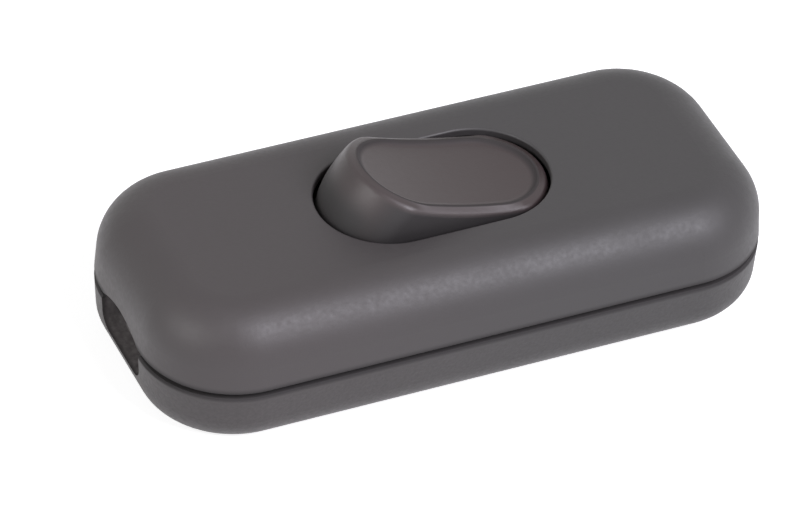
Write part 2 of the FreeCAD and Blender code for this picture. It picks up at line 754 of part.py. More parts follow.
def make_plunger():
    # Round-nosed pin that slides in the rocker's tube
    body = new_body("plunger")
    radius = cell["plunger_radius"]
    centre = radius - plunger_nose
    upper = -cell["plunger_top"]
    sketch = sketch_on(body, "half_section", "XZ_Plane")
    nose = Part.Circle(vector(0.0, centre), FreeCAD.Vector(0, 0, 1), radius.value)
    sketch.addGeometry(Part.ArcOfCircle(nose, -math.pi / 2, 0), False)
    corners = [(radius, centre), (radius, upper), (0.0, upper), (0.0, -plunger_nose)]
    for start, end in zip(corners, corners[1:]):
        sketch.addGeometry(Part.LineSegment(vector(*start), vector(*end)), False)
    for number in range(4):
        sketch.addConstraint(Sketcher.Constraint("Coincident", number, 2, (number + 1) % 4, 1))
    hold_point(sketch, 0, 3, 0.0, centre)
    hold(sketch, "Radius", (0,), radius)
    hold(sketch, "DistanceY", (-1, 1, 0, 2), centre)
    hold(sketch, "DistanceX", (-1, 1, 0, 1), 0.0)
    hold_point(sketch, 2, 1, radius, upper)
    hold_point(sketch, 3, 1, 0.0, upper)
    turned = body.newObject("PartDesign::Revolution", "turned_pin")
    turned.Profile = sketch
    turned.ReferenceAxis = (sketch, ["V_Axis"])
    turned.Angle = 360
    stand(body, height=pivot, turn=cell["rocker_tilt"])
    return body


def make_spring():
    # Compression spring of six-sided wire between the plunger and the end of the tube
    wire = cell["spring_wire"].value / 2
    coil = cell["plunger_radius"].value - wire - cell["running_clearance"].value
    low = wire - cell["plunger_top"].value
    run = hollow_top.value - wire - low
    turns = cell["spring_turns"].value
    path = Part.makeHelix(run / turns, run, coil)
    path.translate(FreeCAD.Vector(0, 0, low))
    first = path.Edges[0]
    start = first.valueAt(first.FirstParameter)
    outward = FreeCAD.Vector(1, 0, 0)
    upward = first.tangentAt(first.FirstParameter).cross(outward).normalize()
    corners = []
    for number in range(7):
        angle = number * math.pi / 3
        corners.append(start + outward * (wire * math.cos(angle)) + upward * (wire * math.sin(angle)))
    ring = Part.makePolygon(corners)
    shape = Part.Wire(path.Edges).makePipeShell([ring], True, True)
    spring = doc.addObject("Part::Feature", "plunger_spring")
    spring.Label = "plunger_spring"
    spring.Shape = shape
    spring.Placement = FreeCAD.Placement(
        FreeCAD.Vector(0, 0, pivot.value),
        FreeCAD.Rotation(FreeCAD.Vector(0, 1, 0), cell["rocker_tilt"].value))
    return spring


def make_contact_arm():
    # Rocking strip with a shallow seat for the plunger and a wing each side
    body = new_body("contact_arm")
    half = cell["arm_length"] / 2
    level = cell["arm_thickness"] / 2
    side = sketch_on(body, "strip_outline", "XZ_Plane")
    draw_rectangle(side, -half, half, -level, level)
    pad(body, "strip", side, cell["arm_width"], both=True)
    outer = cell["dip_radius"] + cell["arm_thickness"]
    chord = outer - cell["arm_dip"]
    half_chord = root(outer * outer - chord * chord)
    centre = chord - level
    belly = sketch_on(body, "belly_outline", "XZ_Plane")
    draw_cap(belly, half_chord, -level, centre, outer, False)
    pad(body, "belly", belly, cell["arm_width"], both=True)
    wing = sketch_on(body, "wing_outline", "XZ_Plane")
    draw_circle(wing, 0.0, 0.0, cell["wing_radius"])
    pad(body, "wings", wing, cell["arm_width"] + 2 * cell["wing_reach"], both=True)
    dip = sketch_on(body, "dip_outline", "XZ_Plane")
    draw_circle(dip, 0.0, centre, cell["dip_radius"])
    pocket(body, "plunger_seat", dip, cell["arm_width"], both=True)
    stand(body, height=arm_axis, turn=-cell["arm_tilt"])
    return body


def make_moving_contact():
    body = new_body("moving_contact")
    sketch = sketch_on(body, "tip_outline", "XY_Plane", -cell["arm_thickness"] / 2)
    draw_circle(sketch, -cell["contact_reach"], 0.0, cell["contact_radius"])
    pad(body, "tip", sketch, cell["contact_height"], backward=True)
    stand(body, height=arm_axis, turn=-cell["arm_tilt"])
    return body


def make_fixed_contact():
    # Silver rivet through the end of the outgoing strip
    body = new_body("fixed_contact")
    head = sketch_on(body, "head_outline", "XY_Plane", strip_top)
    draw_circle(head, -fixed_tip, 0.0, cell["contact_radius"])
    pad(body, "head", head, cell["contact_height"])
    shank = sketch_on(body, "shank_outline", "XY_Plane", strip_top)
    draw_circle(shank, -fixed_tip, 0.0, cell["rivet_radius"])
    pad(body, "shank", shank, cell["strip_thickness"], backward=True)
    return body


def make_terminal(name, side, inner_edge):
    # Flat strip on the floor with a clamping block, wire hole and screw hole at its outer end
    body = new_body(name)
    strip = sketch_on(body, "strip_outline", "XY_Plane", floor_top)
    low = inner_edge if side > 0 else -block_far
    high = block_far if side > 0 else -inner_edge
    draw_rectangle(strip, low, high, -strip_width / 2, strip_width / 2)
    pad(body, "strip", strip, cell["strip_thickness"])
    block = sketch_on(body, "block_outline", "XY_Plane", floor_top)
    low = block_near if side > 0 else -block_far
    high = block_far if side > 0 else -block_near
    draw_rectangle(block, low, high, -cell["block_width"] / 2, cell["block_width"] / 2)
    pad(body, "block", block, cell["block_height"])
    wire = sketch_on(body, "wire_hole_outline", "YZ_Plane", side * block_middle)
    draw_circle(wire, 0.0, wire_axis, cell["wire_bore"])
    pocket(body, "wire_hole", wire, cell["block_length"] + cell["cut_past"], both=True)
    hole = sketch_on(body, "screw_hole_outline", "XY_Plane", floor_top + cell["block_height"])
    radius = cell["terminal_thread"] + cell["screw_clearance"]
    draw_circle(hole, side * block_middle, 0.0, radius)
    pocket(body, "screw_hole", hole, cell["block_height"] - cell["wire_height"])
    return body


def make_load_terminal():
    body = make_terminal("load_terminal", -1, fixed_tip - cell["contact_radius"] - cell["fork_thickness"])
    hole = sketch_on(body, "rivet_hole_outline", "XY_Plane", strip_top)
    draw_circle(hole, -fixed_tip, 0.0, cell["rivet_radius"])
    pocket(body, "rivet_hole", hole, cell["strip_thickness"] + cell["cut_past"])
    return body


def make_line_terminal():
    # The fork's two cheeks carry the wings of the contact arm
    half = cell["fork_length"] / 2
    body = make_terminal("line_terminal", 1, -half)
    near = cell["arm_width"] / 2 + cell["fork_gap"]
    far = near + cell["fork_thickness"]
    cheeks = sketch_on(body, "fork_outline", "XY_Plane", floor_top)
    draw_rectangle(cheeks, -half, half, near, far)
    draw_rectangle(cheeks, -half, half, -far, -near)
    pad(body, "fork", cheeks, arm_axis - floor_top + cell["fork_rise"])
    reach = cell["wing_radius"] + cell["running_clearance"]
    seat = sketch_on(body, "seat_outline", "XZ_Plane")
    draw_circle(seat, 0.0, arm_axis, reach)
    pocket(body, "wing_seats", seat, 2 * far, both=True)
    notch = sketch_on(body, "notch_outline", "XZ_Plane")
    draw_rectangle(notch, -reach, reach, arm_axis, arm_axis + cell["fork_rise"] + cell["cut_past"])
    pocket(body, "wing_notches", notch, 2 * far, both=True)
    return body


def make_neutral_bar():
    body = new_body("neutral_connector")
    half = cell["neutral_length"] / 2
    low = neutral_edge
    outline = sketch_on(body, "bar_outline", "XY_Plane", floor_top)
    draw_rectangle(outline, -half, half, low, low + cell["neutral_width"])
    pad(body, "bar", outline, cell["neutral_height"])
    axis = floor_top + cell["neutral_height"] / 2
    for name, side in (("left", -1), ("right", 1)):
        wire = sketch_on(body, f"{name}_wire_outline", "YZ_Plane", side * half)
        draw_circle(wire, neutral_middle, axis, cell["neutral_bore"])
        pocket(body, f"{name}_wire_hole", wire, cell["neutral_bore_depth"], backward=side < 0)
    holes = sketch_on(body, "screw_hole_outline", "XY_Plane", floor_top + cell["neutral_height"])
    for side in (-1, 1):
        radius = cell["terminal_thread"] + cell["screw_clearance"]
        draw_circle(holes, side * cell["neutral_screw"], neutral_middle, radius)
    pocket(body, "screw_holes", holes, cell["neutral_height"] / 2)
    return body


def make_screw(name, thread, length, head, head_height, cross, place, up=1):
    # Turned shank below a flat seat, with a head above it and a driver slot or cross
    body = new_body(name)
    sketch = sketch_on(body, "half_section", "XZ_Plane")
    draw_polygon(sketch, [
        (0.0, -up * sized(length)),
        (thread, -up * sized(length)),
        (thread, 0.0),
        (head, 0.0),
        (head, up * sized(head_height)),
        (0.0, up * sized(head_height)),
    ])
    turned = body.newObject("PartDesign::Revolution", "turned_screw")
    turned.Profile = sketch
    turned.ReferenceAxis = (sketch, ["V_Axis"])
    turned.Angle = 360
    half = cell["driver_slot"] / 2
    for turn in range(2 if cross else 1):
        reach = cell["cross_reach"] * head if cross else head + cell["cut_past"]
        slot = sketch_on(body, f"driver_outline_{turn}", "XY_Plane", up * sized(head_height))
        if turn == 0:
            draw_rectangle(slot, -reach, reach, -half, half)
        else:
            draw_rectangle(slot, -half, half, -reach, reach)
        pocket(body, f"driver_recess_{turn}", slot, head_height / 2, backward=up < 0)
    stand(body, *place)
    return body


def make_terminal_screws():
    top = floor_top + cell["block_height"]
    length = cell["block_height"] - cell["wire_height"] - cell["wire_bore"] / 2
    neutral_top = floor_top + cell["neutral_height"]
    made = []
    for name, across, along, height, run in (
        ("load_screw", -block_middle, 0.0, top, length),
        ("line_screw", block_middle, 0.0, top, length),
        ("neutral_screw_left", -cell["neutral_screw"], neutral_middle, neutral_top,
         (cell["neutral_height"] - cell["neutral_bore"]) / 2),
        ("neutral_screw_right", cell["neutral_screw"], neutral_middle, neutral_top,
         (cell["neutral_height"] - cell["neutral_bore"]) / 2),
    ):
        made.append(make_screw(name, cell["terminal_thread"], run, cell["terminal_head"],
                               cell["terminal_head_height"], False, (across, along, height)))
    return made


def make_clamps():
    made = []
    for name, side in (("left", -1), ("right", 1)):
        body = new_body(f"cord_clamp_{name}")
        outline = sketch_on(body, "bar_outline", "XY_Plane")
        end = cell["clamp_length"] / 2 - cell["clamp_width"] / 2
        draw_rounded(outline, [(0.0, end), (0.0, -end)], cell["clamp_width"] / 2)
        for place in (cell["clamp_screw"], -cell["clamp_screw"]):
            draw_circle(outline, 0.0, place, cell["clamp_thread"] + cell["screw_clearance"])
        pad(body, "bar", outline, cell["clamp_thickness"])
        ridge = sketch_on(body, "ridge_outline", "XZ_Plane")
        draw_circle(ridge, 0.0, cell["clamp_ridge"] / 2, cell["clamp_ridge"])
        ridge_half = cell["clamp_screw"] - cell["clamp_post"] - cell["ridge_air"]
        pad(body, "ridge", ridge, 2 * ridge_half, both=True)
        stand(body, side * clamp_centre, 0.0, clamp_seat)
        made.append(body)
        for row, along in (("front", -cell["clamp_screw"]), ("back", cell["clamp_screw"])):
            place = (side * clamp_centre, along, clamp_seat + cell["clamp_thickness"])
            made.append(make_screw(f"clamp_screw_{name}_{row}", cell["clamp_thread"],
                                   cell["clamp_screw_length"], cell["clamp_head"],
                                   cell["clamp_head_height"], True, place))
    return made


def make_fixing_screws():
    made = []
    for name, side in (("left", -1), ("right", 1)):
        place = (side * fixing_across, side * fixing_along, cell["counterbore_depth"])
        made.append(make_screw(f"housing_screw_{name}", cell["fixing_thread"], cell["fixing_length"],
                               cell["fixing_head"], cell["fixing_head_height"], True, place, up=-1))
    return made


pieces = [
    make_bottom_shell(),
    make_top_shell(),
    make_rocker(),
    make_plunger(),
    make_spring(),
    make_contact_arm(),
    make_moving_contact(),
    make_fixed_contact(),
    make_load_terminal(),
    make_line_terminal(),
    make_neutral_bar(),
]
pieces += make_terminal_screws()
pieces += make_clamps()
pieces += make_fixing_screws()
doc.recompute()

for item in doc.Objects:
    if "Invalid" in item.State or "Error" in item.State:
        raise RuntimeError(f"{item.Label} is not built: {item.State}")
for piece in pieces:
    if piece.Shape.isNull() or not piece.Shape.isValid() or len(piece.Shape.Solids) != 1:
        raise RuntimeError(f"{piece.Label} is not one valid solid: {len(piece.Shape.Solids)}")
    print(f"{piece.Label}: {piece.Shape.Volume:.2f} cubic mm")

os.makedirs("parts", exist_ok=True)
for piece in pieces:
    piece.Shape.exportStep(os.path.join("parts", f"{piece.Label}.step"))
print(f"{len(pieces)} pieces")
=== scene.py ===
import json
import math

import bpy
import numpy as np
from mathutils import Matrix, Vector


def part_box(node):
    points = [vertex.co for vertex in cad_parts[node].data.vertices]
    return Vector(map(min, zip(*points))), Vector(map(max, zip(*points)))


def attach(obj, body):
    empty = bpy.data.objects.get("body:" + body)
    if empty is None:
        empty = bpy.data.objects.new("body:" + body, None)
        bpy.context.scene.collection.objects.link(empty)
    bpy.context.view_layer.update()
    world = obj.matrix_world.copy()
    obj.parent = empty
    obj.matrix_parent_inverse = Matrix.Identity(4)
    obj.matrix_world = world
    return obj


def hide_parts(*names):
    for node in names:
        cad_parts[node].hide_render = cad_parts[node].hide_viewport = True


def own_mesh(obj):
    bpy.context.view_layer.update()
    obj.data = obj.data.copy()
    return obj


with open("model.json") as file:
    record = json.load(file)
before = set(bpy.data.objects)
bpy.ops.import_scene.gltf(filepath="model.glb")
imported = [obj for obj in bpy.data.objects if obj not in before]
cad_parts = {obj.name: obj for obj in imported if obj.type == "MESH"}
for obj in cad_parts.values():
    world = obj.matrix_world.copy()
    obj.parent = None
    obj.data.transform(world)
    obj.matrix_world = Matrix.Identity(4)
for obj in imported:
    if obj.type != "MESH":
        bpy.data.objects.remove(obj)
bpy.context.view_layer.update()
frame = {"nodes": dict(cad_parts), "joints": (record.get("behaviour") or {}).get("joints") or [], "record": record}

nodes = frame["nodes"]
joints = {joint["name"]: joint for joint in frame["joints"]}
print("frame loaded with", len(nodes), "nodes")

key = {                             # it rests at one end of its range, which is level in the middle
    "pivot": joints["rocker_tilt"]["pos_m"][2],
    "tilt": joints["rocker_tilt"]["range_deg"][1] / 2,
}


class Wire:
    # A socket on which +, -, *, ** and abs() add Math nodes
    def __init__(self, recipe, socket):
        self.recipe = recipe
        self.socket = socket

    def __add__(self, other):
        return self.recipe.maths("ADD", self, other)

    def __radd__(self, other):
        return self.recipe.maths("ADD", other, self)

    def __sub__(self, other):
        return self.recipe.maths("SUBTRACT", self, other)

    def __rsub__(self, other):
        return self.recipe.maths("SUBTRACT", other, self)

    def __mul__(self, other):
        return self.recipe.maths("MULTIPLY", self, other)

    def __rmul__(self, other):
        return self.recipe.maths("MULTIPLY", other, self)

    def __pow__(self, other):
        return self.recipe.maths("POWER", self, other)

    def __abs__(self):
        return self.recipe.maths("ABSOLUTE", self, 0.0)


class Recipe:
    # One material, written as expressions on wires
    def __init__(self, name):
        self.material = bpy.data.materials.new(name)
        self.material.use_nodes = True
        self.tree = self.material.node_tree
        self.shader = self.tree.nodes["Principled BSDF"]

    def node(self, kind, settings, inputs, output=0):
        # The settings are set first, then each socket gets a value or a wire
        made = self.tree.nodes.new(kind)
        for setting, value in settings.items():
            setattr(made, setting, value)
        for place, value in inputs.items():
            self.join(made.inputs[place], value)
        return Wire(self, made.outputs[output])

    def join(self, socket, value):
        if isinstance(value, Wire):
            self.tree.links.new(value.socket, socket)
        else:
            socket.default_value = value

    def set(self, **values):
        for name, value in values.items():
            self.join(self.shader.inputs[name.replace("_", " ")], value)

    def maths(self, operation, first, second):
        return self.node("ShaderNodeMath", {"operation": operation}, {0: first, 1: second})

    def place(self, stretch=(1.0, 1.0, 1.0)):
        spot = self.node("ShaderNodeTexCoord", {}, {}, "Object")
        return self.node("ShaderNodeMapping", {}, {"Vector": spot, "Scale": stretch})

    def axis(self, place, name):
        return self.node("ShaderNodeSeparateXYZ", {}, {"Vector": place}, name)

    def noise(self, size, detail=2.0, stretch=(1.0, 1.0, 1.0), roughness=0.5):
        # Cloudy noise from 0 to 1 whose patches are about as wide as size, in metres
        return self.node("ShaderNodeTexNoise", {}, {
            "Vector": self.place(stretch), "Scale": 1.0 / size, "Detail": detail,
            "Roughness": roughness})

    def spread(self, value, low, high, start=0.3, stop=0.7):
        # low up to where the value is start, high from where it is stop, and even between them
        return self.node("ShaderNodeMapRange", {}, {
            "Value": value, "From Min": start, "From Max": stop, "To Min": low, "To Max": high})

    def step(self, value, low, high):
        # Smooth rise from 0 at low to 1 at high
        return self.node("ShaderNodeMapRange", {"interpolation_type": "SMOOTHSTEP"}, {
            "Value": value, "From Min": low, "From Max": high})

    def band(self, value, rise, fall):
        # 1 between a smooth rise and a smooth fall, each from one value to another
        return self.step(value, *rise) * (1.0 - self.step(value, *fall))

    def mix(self, factor, first, second):
        # The node's colours are its sockets 6 and 7 and its output 2
        first, second = ((*colour, 1.0) if isinstance(colour, tuple) else colour
                         for colour in (first, second))
        return self.node("ShaderNodeMix", {"data_type": "RGBA"}, {0: factor, 6: first, 7: second}, 2)

    def bump(self, height):
        # The height is in metres
        return self.node("ShaderNodeBump", {}, {"Height": height, "Distance": 1.0})


shellLook = {
    "colour": (0.0520, 0.0450, 0.0458),     # dark grey, warmer towards the end with the raised key
    "pale": (0.0600, 0.0525, 0.0530),
    "farColour": (0.0425, 0.0400, 0.0408),
    "farPale": (0.0500, 0.0470, 0.0478),
    "grain": 0.00022,                       # size of the moulded grain
    "grainDepth": 0.000010,
    "mottle": 0.00045,                      # size of the duller and shinier spots
    "mottleDepth": 0.000005,
    "rough": (0.44, 0.58),
}
rockerLook = {
    "colour": (0.0520, 0.0415, 0.0415),
    "pale": (0.0590, 0.0480, 0.0480),
    "farColour": (0.0365, 0.0240, 0.0245),
    "farPale": (0.0415, 0.0290, 0.0295),
    "grain": 0.00016,
    "grainDepth": 0.000006,
    "mottle": 0.00050,
    "mottleDepth": 0.000006,
    "rough": (0.38, 0.47),
}
insertLook = {
    "colour": (0.66, 0.63, 0.56),
    "pale": (0.72, 0.70, 0.64),
    "farColour": (0.64, 0.61, 0.54),
    "farPale": (0.70, 0.68, 0.62),
    "grain": 0.00020,
    "grainDepth": 0.000006,
    "mottle": 0.00060,
    "mottleDepth": 0.000004,
    "rough": (0.40, 0.50),
}
moulded = {                         # what all the mouldings share
    "cloud": 0.009,                 # size of the slow changes of tone
    "cloudDetail": 3.0,
    "cloudInTone": 0.6,             # its share, and the mottle has the rest
    "cloudInRough": 0.4,
    "grainDetail": 3.0,
    "grainHarshness": 0.6,
    "change": (-0.024, 0.020),      # where the first colours end and the far ones are full, along X
    "wander": 0.006,                # how far the clouds shift that
}


class Moulding(Recipe):
    # Fine grain over slow changes of tone, with small dull and shiny spots
    def __init__(self, name, look):
        super().__init__(name)
        cloud = self.noise(moulded["cloud"], moulded["cloudDetail"])
        grain = self.noise(look["grain"], moulded["grainDetail"], roughness=moulded["grainHarshness"])
        mottle = self.noise(look["mottle"])
        inTone, inRough = moulded["cloudInTone"], moulded["cloudInRough"]
        tone = self.spread(inTone * cloud + (1.0 - inTone) * mottle, 0.0, 1.0)
        along = self.axis(self.place(), "X") + moulded["wander"] * cloud
        near = self.mix(tone, look["colour"], look["pale"])
        far = self.mix(tone, look["farColour"], look["farPale"])
        self.colour = self.mix(self.step(along, *moulded["change"]), near, far)
        self.rough = self.spread(inRough * cloud + (1.0 - inRough) * mottle, *look["rough"])
        self.height = look["grainDepth"] * grain + look["mottleDepth"] * mottle

    def cover(self, share, colour, rough):
        # A share from 0 to 1 of another colour and roughness on top
        self.colour = self.mix(share, self.colour, colour)
        self.rough = self.rough + share * (rough - self.rough)

    def finish(self):
        self.set(Base_Color=self.colour, Roughness=self.rough, Normal=self.bump(self.height),
                 Specular_IOR_Level=0.5, IOR=1.5)
        return self.material


jointLook = {                       # heights above the underside
    "lower": (0.0052, 0.0058),      # below here is the coarser grain of another mould
    "coarse": 0.00032,              # its size
    "coarseDepth": 0.000036,
    "speckle": 0.50,                # share of the darker tone in its hollows
    "speckleColour": (0.0270, 0.0250, 0.0245),
    "shadedEdgeBottom": (0.00550, 0.00600),       # painted shade on both edges beside the groove, which dulls their highlights
    "shadedEdgeTop": (0.00655, 0.00730),
    "edgeShadeColour": (0.0220, 0.0198, 0.0202),
    "litGrooveBottom": (0.00590, 0.00602),     # and painted light in it, paler than the painted shade on its edges
    "litGrooveTop": (0.00648, 0.00660),
    "grooveLightColour": (0.0400, 0.0362, 0.0368),
    "rough": 0.85,
}
slotLightLook = {                        # painted light: pale patches on the shaded walls of the cord slots
    "inside": (0.0284, 0.0290),     # from the part's middle along X
    "outside": (0.0307, 0.0313),
    "half": (0.0047, 0.0049),       # half its width
    "bottom": (0.0020, 0.0024),
    "top": (0.0074, 0.0078),
    "patch": 0.0007,                # size of the thinner and thicker patches
    "thinnest": 0.35,
    "colour": (0.200, 0.182, 0.182),
    "rough": 0.90,
}


def shellPlastic(name, look, joint, slot):
    # The painted light on the slot walls lies where a band along, a limit across and a band of height all hold
    recipe = Moulding(name, look)
    place = recipe.place()
    up = recipe.axis(place, "Z")
    inWall = recipe.band(abs(recipe.axis(place, "X")), slot["inside"], slot["outside"])
    beside = recipe.step(abs(recipe.axis(place, "Y")), *slot["half"])
    patches = recipe.spread(recipe.noise(slot["patch"]), slot["thinnest"], 1.0)
    slotLight = inWall * (1.0 - beside) * recipe.band(up, slot["bottom"], slot["top"]) * patches
    lower = 1.0 - recipe.step(up, *joint["lower"])
    coarse = recipe.noise(joint["coarse"])
    recipe.height = recipe.height + joint["coarseDepth"] * lower * coarse
    hollow = lower * recipe.spread(coarse, joint["speckle"], 0.0)
    recipe.colour = recipe.mix(hollow, recipe.colour, joint["speckleColour"])
    # painted shade on the edges beside the joint groove
    edgeShade = recipe.band(up, joint["shadedEdgeBottom"], joint["shadedEdgeTop"])
    # painted light in the shaded joint groove
    grooveLight = recipe.band(up, joint["litGrooveBottom"], joint["litGrooveTop"])
    recipe.cover(edgeShade, joint["edgeShadeColour"], joint["rough"])
    recipe.cover(grooveLight, joint["grooveLightColour"], joint["rough"])
    recipe.cover(slotLight, slot["colour"], slot["rough"])
    return recipe.finish()


scoopLook = {
    "straight": 0.003945,           # half the straight part of the scoop's outline
    "round": 0.00538,               # radius of its ends
    "wall": (-0.00085, -0.00030),   # where its floor starts to rise, from the outline
    "brow": (-0.00008, 0.00012),
    # the wall's dark colour is painted shade
    "wallShadeColour": (0.0250, 0.0205, 0.0210),
    "wallRough": 0.80,
    "rim": 0.00062,                 # width of the rounded edge outside the outline
    "rimMiddle": 0.00050,
    "rimBow": 1500.0,               # one over the radius that the edge is bowed to
    "endReach": (0.0082, 0.0106),   # each turned end, from the middle of the key
    "endDepth": (0.0026, 0.0052),   # painted shade darkens it down through these heights above the pivot
    "endShadeColour": (0.0240, 0.0215, 0.0220),
    "endRough": 0.60,
    "crown": 0.00526,               # lowest point of the crown above the pivot
    "crownBow": 0.046,              # radius of the crown along the key
    "sideReach": (0.0036, 0.0058),  # each long side, from the middle of the key
    "sideDepth": (0.0003, 0.0009),  # painted shade darkens it through these depths below the crown
    "sideShadeColour": (0.0250, 0.0225, 0.0232),
    "sideRough": 0.62,
}


def keyPlastic(name, look, scoop):
    # Distance from a stadium, seen square to the leaning key: |(max(|u| - straight, 0), v)| - round.
    # The wall inside it is dull and dark with painted shade, the rim outside it bows up as half the square of the
    # distance from its middle, and the ends and sides darken with painted shade on their way down into the
    # housing.
    # The crown is at crown + u * u / (2 * crownBow)
    recipe = Moulding(name, look)
    spot = recipe.node("ShaderNodeTexCoord", {}, {}, "Object")
    level = recipe.node("ShaderNodeMapping", {"vector_type": "TEXTURE"}, {
        "Vector": spot, "Location": (0.0, 0.0, key["pivot"]),
        "Rotation": (0.0, math.radians(key["tilt"]), 0.0)})
    along = abs(recipe.axis(level, "X"))
    across = recipe.axis(level, "Y")
    up = recipe.axis(level, "Z")
    beyond = recipe.maths("MAXIMUM", along - scoop["straight"], 0.0)
    outside = (beyond * beyond + across * across) ** 0.5 - scoop["round"]
    # painted shade on the scoop's wall
    wall = recipe.band(outside, scoop["wall"], scoop["brow"])
    onRim = recipe.maths("MINIMUM", recipe.maths("MAXIMUM", outside, 0.0), scoop["rim"])
    fromMiddle = scoop["rimMiddle"] - onRim
    # painted shade on the turned ends, deeper further down
    endShade = recipe.step(along, *scoop["endReach"]) * (1.0 - recipe.step(up, *scoop["endDepth"]))
    below = scoop["crown"] + along * along * (0.5 / scoop["crownBow"]) - up
    # painted shade on the long sides below the crown
    side = recipe.step(abs(across), *scoop["sideReach"]) * recipe.step(below, *scoop["sideDepth"])
    recipe.cover(wall, scoop["wallShadeColour"], scoop["wallRough"])
    recipe.cover(side, scoop["sideShadeColour"], scoop["sideRough"])
    recipe.cover(endShade, scoop["endShadeColour"], scoop["endRough"])
    recipe.height = recipe.height + 0.5 * scoop["rimBow"] * fromMiddle * fromMiddle
    return recipe.finish()


brassLook = {"colour": (0.72, 0.50, 0.20), "dull": (0.50, 0.34, 0.15), "rough": (0.24, 0.40)}
silverLook = {"colour": (0.86, 0.85, 0.82), "dull": (0.66, 0.64, 0.60), "rough": (0.26, 0.38)}
zincLook = {"colour": (0.68, 0.69, 0.70), "dull": (0.50, 0.51, 0.50), "rough": (0.26, 0.42)}
springLook = {"colour": (0.52, 0.53, 0.55), "dull": (0.36, 0.37, 0.39), "rough": (0.26, 0.36)}
drawn = {                           # what all the metals share
    "cloud": 0.003,                 # size of the dull patches
    "cloudDetail": 3.0,
    "cloudInRough": 0.6,            # its share, and the lines have the rest
    "line": 0.00012,                # width of the tool's lines
    "lineDepth": 0.000003,
}
alongStrip = (0.08, 1.0, 1.0)       # lines drawn out along the brass strips


def drawnMetal(name, look, stretch=(1.0, 1.0, 1.0)):
    # Fine lines left by the tool, and a slow dulling of the colour
    recipe = Recipe(name)
    cloud = recipe.noise(drawn["cloud"], drawn["cloudDetail"])
    lines = recipe.noise(drawn["line"], stretch=stretch)
    share = drawn["cloudInRough"]
    recipe.set(
        Base_Color=recipe.mix(recipe.spread(cloud, 0.0, 1.0), look["colour"], look["dull"]),
        Roughness=recipe.spread(share * cloud + (1.0 - share) * lines, *look["rough"]),
        Normal=recipe.bump(drawn["lineDepth"] * lines),
        Metallic=1.0,
    )
    return recipe.material


finishes = {
    "shell_plastic": shellPlastic("shellPlastic", shellLook, jointLook, slotLightLook),
    "rocker_plastic": keyPlastic("rockerPlastic", rockerLook, scoopLook),
    "insert_plastic": Moulding("insertPlastic", insertLook).finish(),
    "brass": drawnMetal("brass", brassLook, alongStrip),
    "contact_silver": drawnMetal("contactSilver", silverLook),
    "plated_steel": drawnMetal("zincPlate", zincLook),
    "spring_steel": drawnMetal("springWire", springLook),
}
for row in frame["record"]["subparts"]:
    slots = nodes[row["node"]].data.materials
    slots.clear()
    slots.append(finishes[row["material_slot"]])


def closedSkin(name, rings):
    # Rings of points joined into a tube, with one point at each end in place of its first and last ring
    rows, around = rings.shape[:2]
    points = np.concatenate([rings[0, :1], rings[1:-1].reshape(-1, 3), rings[-1, :1]])
    here = np.arange(around)
    after = np.roll(here, -1)
    first = 1 + around * np.arange(rows - 3)[:, None]
    last = len(points) - 1
    quads = np.stack([first + here, first + around + here, first + around + after, first + after], -1)
    start = np.stack([here * 0, 1 + here, 1 + after], -1)
    end = np.stack([here * 0 + last, last - around + after, last - around + here], -1)
    faces = start.tolist() + quads.reshape(-1, 4).tolist() + end.tolist()
    mesh = bpy.data.meshes.new(name)
    mesh.from_pydata(points.tolist(), [], faces)
    piece = bpy.data.objects.new(name, mesh)
    bpy.context.scene.collection.objects.link(piece)
    return piece


fixingScrew = {                     # from below, into the upper shell
    "nodes": ("housing_screw_left", "housing_screw_right"),
    "up": -1,                       # which way the head faces
    "head": 0.0021, "headHeight": 0.0014, "dome": 0.00045,
    "thread": 0.0012, "ridge": 0.00026, "pitch": 0.0010,
    "point": 0.0016,                # length of the tapered tip
}
clampScrew = {
    "nodes": ("clamp_screw_left_front", "clamp_screw_left_back",
              "clamp_screw_right_front", "clamp_screw_right_back"),
    "up": 1,
    "head": 0.0017, "headHeight": 0.0012, "dome": 0.00035,
    "thread": 0.0010, "ridge": 0.00016, "pitch": 0.0006,
    "point": 0.0003,
}
driverCross = {"reach": 0.64, "arm": 0.19, "depth": 0.62, "taper": 0.60, "sharp": 5.0}
turning = {                         # the rings that both sorts of screw share
    "around": 72,
    "inFloor": 0.5,                 # ring in the floor of the cross, as a share of the floor's reach
    "onWall": 0.6,                  # ring on its wall, as a share of the wall's height
    "lipInside": 0.985, "lipOutside": 1.02,     # rounded lip, as shares of the cross's outline
    "lipDrop": 0.00003,
    "domeStart": 0.15, "domeRings": 8,
    "domeEdge": 0.90,               # where the dome ends, as a share of the head's radius
    "sideStart": 0.2, "sideRings": 5, "sideDrop": 0.00022,
    "bevelHeight": 0.00010, "underside": 0.96,
    "ringsPerPitch": 8,
    "ridgeHeight": 1.6, "ridgeSlope": 5.0,      # of the thread's profile, cut off at 0 and 1
    "tip": 0.15, "tipPower": 0.7, "tipEnd": 0.12,
}


def crossOutline(angle, head, cross):
    # 1 / ((|cos| / reach)^p + (|sin| / arm)^p)^(1 / p), the same in each quarter
    quarter = (angle + math.pi / 4) % (math.pi / 2) - math.pi / 4
    power = cross["sharp"]
    lengthwise = (np.cos(quarter) / cross["reach"]) ** power
    crosswise = (np.abs(np.sin(quarter)) / cross["arm"]) ** power
    return head * (lengthwise + crosswise) ** (-1.0 / power)


